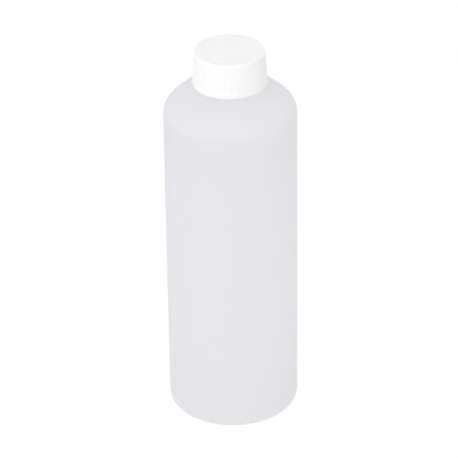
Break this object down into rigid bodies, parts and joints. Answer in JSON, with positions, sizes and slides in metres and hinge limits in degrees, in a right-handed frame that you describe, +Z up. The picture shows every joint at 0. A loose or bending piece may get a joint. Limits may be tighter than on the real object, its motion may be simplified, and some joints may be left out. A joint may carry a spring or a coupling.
{
  "type": "reagent bottle",
  "caption": "Tall round narrow-neck reagent bottle of milky translucent plastic, with a rounded shoulder, a screw-thread neck and a ribbed white screw cap with a sealing liner inside.",
  "frame": {"origin": "centre of the standing ring, on the surface that the bottle stands on", "axes": "+Z up along the bottle's axis; the picture looks along +Y"},
  "size_m": [0.065, 0.065, 0.1969],
  "materials": {
    "bottle_plastic": "milky translucent, satin",
    "cap_plastic": "opaque white, semi-gloss",
    "liner_foam": "foamed, matt",
    "liner_film": "smooth film"
  },
  "bodies": {
    "bottle": {"bottle_body": "bottle_plastic"},
    "liner": {"liner_backing": "liner_foam", "liner_facing": "liner_film"},
    "cap": {"screw_cap": "cap_plastic"}
  },
  "joints": [
    {"name": "cap_lift", "type": "slide", "parent": "bottle", "child": "liner", "axis": [0, 0, 1], "range_m": [0, 0.0212]},
    {"name": "cap_turn", "type": "hinge", "parent": "liner", "child": "cap", "pos_m": [0, 0, 0.19], "axis": [0, 0, 1], "range_deg": [0, 1800]}
  ],
  "couplings": [
    {"joint": "cap_lift", "follows": "cap_turn", "m_per_rad": 0.00067322}
  ]
}
